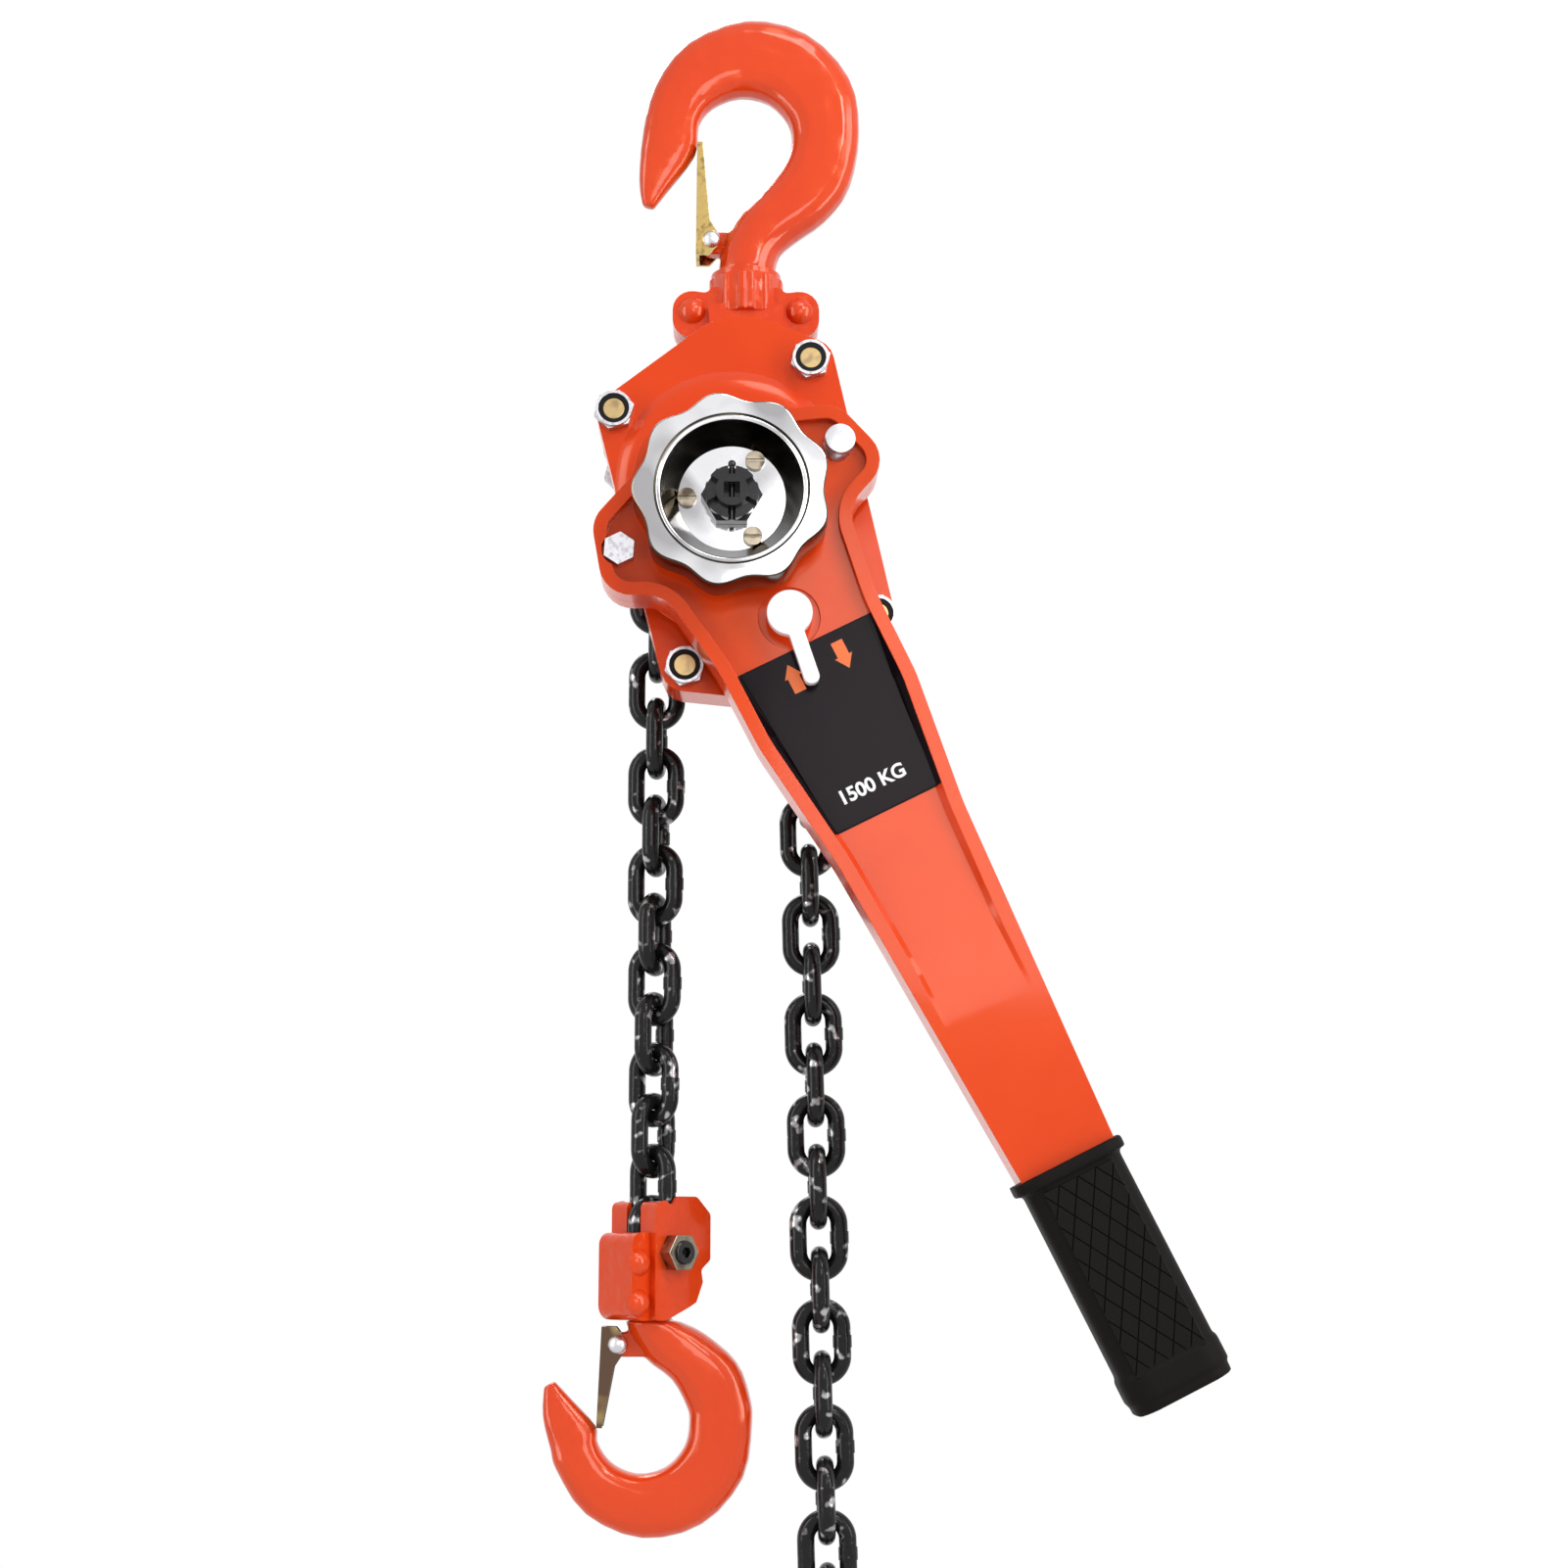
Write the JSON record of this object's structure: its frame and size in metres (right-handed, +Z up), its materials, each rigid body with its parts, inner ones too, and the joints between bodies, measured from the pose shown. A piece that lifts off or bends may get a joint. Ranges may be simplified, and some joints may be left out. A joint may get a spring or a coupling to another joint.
{
  "type": "lever chain hoist",
  "caption": "Ratchet lever hoist with a latched top hook, a handwheel, a long hand lever and a load chain ending in a swivel bottom hook.",
  "frame": {"origin": "bearing point of the top hook: the highest point inside its bowl", "axes": "+X to the right seen from the handwheel side, +Y away from the handwheel, towards the gear cover, +Z up"},
  "size_m": [0.2687, 0.143, 0.7113],
  "materials": {
    "orange_paint": "glossy orange paint over forged and pressed steel",
    "zinc": "bright zinc plate",
    "brass_zinc": "yellow passivated zinc plate",
    "chrome": "polished chrome plate",
    "steel": "plain machined steel",
    "black_steel": "black finished steel, glossy",
    "black_plate": "black printed plate",
    "nylon": "black nylon",
    "lining": "brown friction lining",
    "grip_rubber": "black textured rubber"
  },
  "bodies": {
    "top_hook": {"top_hook": "orange_paint", "top_latch_rivet": "zinc"},
    "top_latch": {"top_latch": "brass_zinc", "top_latch_spring": "steel"},
    "top_yoke": {"top_yoke_front": "orange_paint", "top_yoke_rear": "orange_paint", "top_yoke_rivets": "orange_paint"},
    "housing": {"side_plate_front": "orange_paint", "side_plate_rear": "orange_paint", "stay_bolts": "brass_zinc", "stay_nuts": "zinc", "nut_inserts": "nylon", "top_pin": "steel", "chain_guides": "steel", "chain_stripper": "steel", "sheave_bearings": "steel", "brake_cover": "orange_paint", "gear_cover": "orange_paint", "pawl_pins": "zinc", "pawl_springs": "steel", "chain_wrap": "black_steel"},
    "load_sheave": {"load_sheave": "steel", "load_gear": "steel"},
    "disc_gear_a": {"disc_gear_a": "steel"},
    "disc_gear_b": {"disc_gear_b": "steel"},
    "drive": {"pinion_shaft": "steel", "brake_hub": "steel", "friction_discs": "lining", "castle_nut": "black_steel", "split_pin": "zinc"},
    "ratchet": {"ratchet_disc": "steel"},
    "pawl_a": {"pawl_a": "steel"},
    "pawl_b": {"pawl_b": "steel"},
    "handwheel": {"handwheel": "chrome", "change_gear": "steel", "handwheel_screws": "zinc"},
    "lever": {"lever_rear_shell": "orange_paint", "lever_front_shell": "orange_paint", "lever_bolts": "zinc", "label_plate": "black_plate", "grip": "grip_rubber", "detent_plunger": "steel", "detent_spring": "steel"},
    "selector": {"selector_knob": "chrome", "changeover_pawl": "steel"},
    "load_strand_upper": {"load_chain_upper": "black_steel"},
    "load_strand_lower": {"load_chain_lower": "black_steel"},
    "bottom_yoke": {"bottom_yoke_front": "orange_paint", "bottom_yoke_rear": "orange_paint", "bottom_yoke_rivets": "orange_paint", "anchor_bolt": "black_steel", "anchor_nut": "zinc"},
    "bottom_hook": {"bottom_hook": "orange_paint", "bottom_latch_rivet": "zinc"},
    "bottom_latch": {"bottom_latch": "brass_zinc", "bottom_latch_spring": "steel"},
    "tail_upper": {"tail_chain_upper": "black_steel"},
    "tail_middle": {"tail_chain_middle": "black_steel"},
    "tail_lower": {"tail_chain_lower": "black_steel", "chain_end_stop": "zinc"}
  },
  "joints": [
    {"name": "hook_swivel", "type": "hinge", "parent": "top_hook", "child": "top_yoke", "pos_m": [0, 0, -0.106], "axis": [0, 0, 1], "continuous": true},
    {"name": "housing_swing", "type": "hinge", "parent": "top_yoke", "child": "housing", "pos_m": [0, 0, -0.133], "axis": [0, 1, 0], "range_deg": [-25, 25]},
    {"name": "top_latch_open", "type": "hinge", "parent": "top_hook", "child": "top_latch", "pos_m": [-0.015, 0, -0.0695], "axis": [0, 1, 0], "range_deg": [0, 30], "stiffness_Nm_per_rad": 0.05, "springref_deg": -34.38},
    {"name": "lever_swing", "type": "hinge", "parent": "housing", "child": "lever", "pos_m": [-0.0058, 0, -0.2065], "axis": [0, 1, 0], "continuous": true},
    {"name": "selector_tilt", "type": "hinge", "parent": "lever", "child": "selector", "pos_m": [0.0174, 0, -0.25304], "axis": [0, 1, 0], "range_deg": [-28, 12]},
    {"name": "load_sheave_spin", "type": "hinge", "parent": "housing", "child": "load_sheave", "pos_m": [-0.0058, 0, -0.2065], "axis": [0, 1, 0], "continuous": true, "deforming": ["chain_wrap"]},
    {"name": "disc_gear_a_spin", "type": "hinge", "parent": "housing", "child": "disc_gear_a", "pos_m": [-0.01422, 0, -0.17615], "axis": [0, 1, 0], "continuous": true},
    {"name": "disc_gear_b_spin", "type": "hinge", "parent": "housing", "child": "disc_gear_b", "pos_m": [0.00262, 0, -0.23685], "axis": [0, 1, 0], "continuous": true},
    {"name": "drive_spin", "type": "hinge", "parent": "housing", "child": "drive", "pos_m": [-0.0058, 0, -0.2065], "axis": [0, 1, 0], "continuous": true},
    {"name": "ratchet_spin", "type": "hinge", "parent": "housing", "child": "ratchet", "pos_m": [-0.0058, 0, -0.2065], "axis": [0, 1, 0], "continuous": true},
    {"name": "pawl_a_lift", "type": "hinge", "parent": "housing", "child": "pawl_a", "pos_m": [0.02067, 0, -0.17262], "axis": [0, 1, 0], "range_deg": [0, 14], "stiffness_Nm_per_rad": 0.02, "springref_deg": -22.92},
    {"name": "pawl_b_lift", "type": "hinge", "parent": "housing", "child": "pawl_b", "pos_m": [-0.01178, 0, -0.24908], "axis": [0, 1, 0], "range_deg": [0, 14], "stiffness_Nm_per_rad": 0.02, "springref_deg": -22.92},
    {"name": "brake_screw_turn", "type": "hinge", "parent": "drive", "child": "handwheel", "pos_m": [-0.0058, 0, -0.2065], "axis": [0, 1, 0], "range_deg": [-30, 0]},
    {"name": "load_strand_swing", "type": "hinge", "parent": "housing", "child": "load_strand_upper", "pos_m": [-0.03731, 0, -0.27585], "axis": [0, 1, 0], "range_deg": [-2.5, 12]},
    {"name": "load_strand_fold", "type": "hinge", "parent": "load_strand_upper", "child": "load_strand_lower", "pos_m": [-0.03731, 0, -0.3801], "axis": [0.8974, -0.4412, 0], "range_deg": [-12, 12]},
    {"name": "bottom_yoke_swing", "type": "hinge", "parent": "load_strand_lower", "child": "bottom_yoke", "pos_m": [-0.03731, 0, -0.50415], "axis": [-0.6691, 0.7431, 0], "range_deg": [-8, 8]},
    {"name": "bottom_hook_swivel", "type": "hinge", "parent": "bottom_yoke", "child": "bottom_hook", "pos_m": [-0.03731, 0, -0.52245], "axis": [0, 0, 1], "continuous": true},
    {"name": "bottom_latch_open", "type": "hinge", "parent": "bottom_hook", "child": "bottom_latch", "pos_m": [-0.05081, 0, -0.54095], "axis": [0, -1, 0], "range_deg": [0, 30], "stiffness_Nm_per_rad": 0.05, "springref_deg": -34.38},
    {"name": "tail_swing", "type": "hinge", "parent": "housing", "child": "tail_upper", "pos_m": [0.02571, 0, -0.2831], "axis": [0, 1, 0], "range_deg": [-12, 2.5]},
    {"name": "tail_fold_upper", "type": "hinge", "parent": "tail_upper", "child": "tail_middle", "pos_m": [0.02859, 0, -0.40092], "axis": [0.9997, 0, 0.0244], "range_deg": [-15, 15]},
    {"name": "tail_fold_lower", "type": "hinge", "parent": "tail_middle", "child": "tail_lower", "pos_m": [0.03182, 0, -0.53322], "axis": [0, 1, 0], "range_deg": [-15, 15]}
  ],
  "couplings": [
    {"joint": "disc_gear_a_spin", "follows": "load_sheave_spin", "ratio": -2},
    {"joint": "disc_gear_b_spin", "follows": "load_sheave_spin", "ratio": -2},
    {"joint": "drive_spin", "follows": "load_sheave_spin", "ratio": 5}
  ]
}
